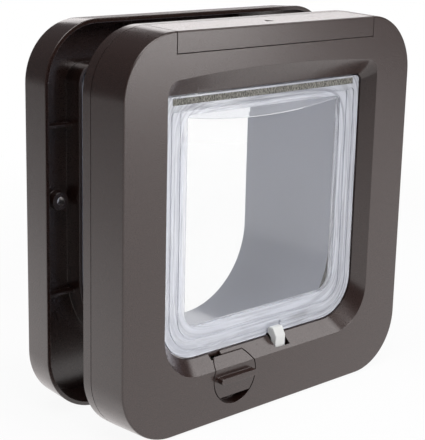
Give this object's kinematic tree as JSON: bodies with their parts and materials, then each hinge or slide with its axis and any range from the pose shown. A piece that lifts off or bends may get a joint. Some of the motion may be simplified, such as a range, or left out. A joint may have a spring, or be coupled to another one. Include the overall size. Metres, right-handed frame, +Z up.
{
  "type": "cat flap",
  "caption": "Square cat flap for a door: clear swinging flap, rotary lock, spring-held latch, battery cover on top, tunnel and hollow outdoor frame",
  "frame": {"origin": "Middle of the base: left and right are symmetric about it, and it lies halfway between the front of the knob's grip and the outdoor end of the tunnel.", "axes": "+X to the right as seen from indoors, +Y outdoors through the door, +Z up."},
  "size_m": [0.21, 0.1032, 0.21],
  "materials": {
    "taupe_plastic": "fine_texture",
    "clear_plastic": "polished",
    "white_plastic": "satin",
    "black_plastic": "satin",
    "pile": "pile",
    "magnet": "plated",
    "steel": "satin",
    "spring_steel": "satin",
    "cell_wrap": "gloss",
    "board": "satin",
    "winding": "enamelled",
    "dome_rubber": "matte",
    "light_guide": "frosted",
    "bush_plastic": "satin"
  },
  "bodies": {
    "indoor_unit": {"front_cover": "taupe_plastic", "rear_housing": "taupe_plastic", "tunnel": "taupe_plastic", "battery_tray": "black_plastic", "cell_left_front": "cell_wrap", "cell_left_rear": "cell_wrap", "cell_right_front": "cell_wrap", "cell_right_rear": "cell_wrap", "contact_plates": "steel", "contact_springs": "spring_steel", "switch_board": "board", "button_dome": "dome_rubber", "status_light": "light_guide", "circuit_board": "board", "antenna_coil": "winding", "frame_magnet": "magnet", "hinge_bush_left": "bush_plastic", "hinge_bush_right": "bush_plastic", "latch_solenoid": "black_plastic", "latch_spring": "spring_steel"},
    "battery_lid": {"battery_cover": "taupe_plastic"},
    "swing_flap": {"flap": "clear_plastic", "top_brush": "pile", "flap_magnet": "magnet"},
    "latch": {"indoor_latch": "white_plastic", "latch_plunger": "steel"},
    "knob": {"lock_knob": "taupe_plastic", "lock_pinion": "bush_plastic", "knob_clip": "steel"},
    "bar": {"lock_bar": "white_plastic"},
    "button": {"settings_button": "white_plastic"},
    "outdoor": {"outdoor_frame": "taupe_plastic"}
  },
  "joints": [
    {"name": "lid_lift", "type": "slide", "parent": "indoor_unit", "child": "battery_lid", "axis": [0, 0, 1], "range_m": [0, 0.02]},
    {"name": "flap_hinge", "type": "hinge", "parent": "indoor_unit", "child": "swing_flap", "pos_m": [0, -0.03315, 0.1717], "axis": [1, 0, 0], "range_deg": [0, 80]},
    {"name": "latch_slide", "type": "slide", "parent": "indoor_unit", "child": "latch", "axis": [0, 0, 1], "range_m": [-0.007, 0], "stiffness_N_per_m": 150, "springref_m": 0.004, "deforming": ["latch_spring"]},
    {"name": "knob_turn", "type": "hinge", "parent": "indoor_unit", "child": "knob", "pos_m": [-0.027, -0.04765, 0.024], "axis": [0, 1, 0], "range_deg": [0, 90]},
    {"name": "bar_slide", "type": "slide", "parent": "indoor_unit", "child": "bar", "axis": [0, 0, 1], "range_m": [0, 0.0095]},
    {"name": "button_press", "type": "slide", "parent": "indoor_unit", "child": "button", "axis": [0, 0, -1], "range_m": [0, 0.0015], "stiffness_N_per_m": 800, "springref_m": -0.0005, "deforming": ["button_dome"]},
    {"name": "outdoor_slide", "type": "slide", "parent": "indoor_unit", "child": "outdoor", "axis": [0, 1, 0], "range_m": [-0.027, 0.012]}
  ],
  "couplings": [
    {"joint": "bar_slide", "follows": "knob_turn", "m_per_rad": 0.006}
  ]
}
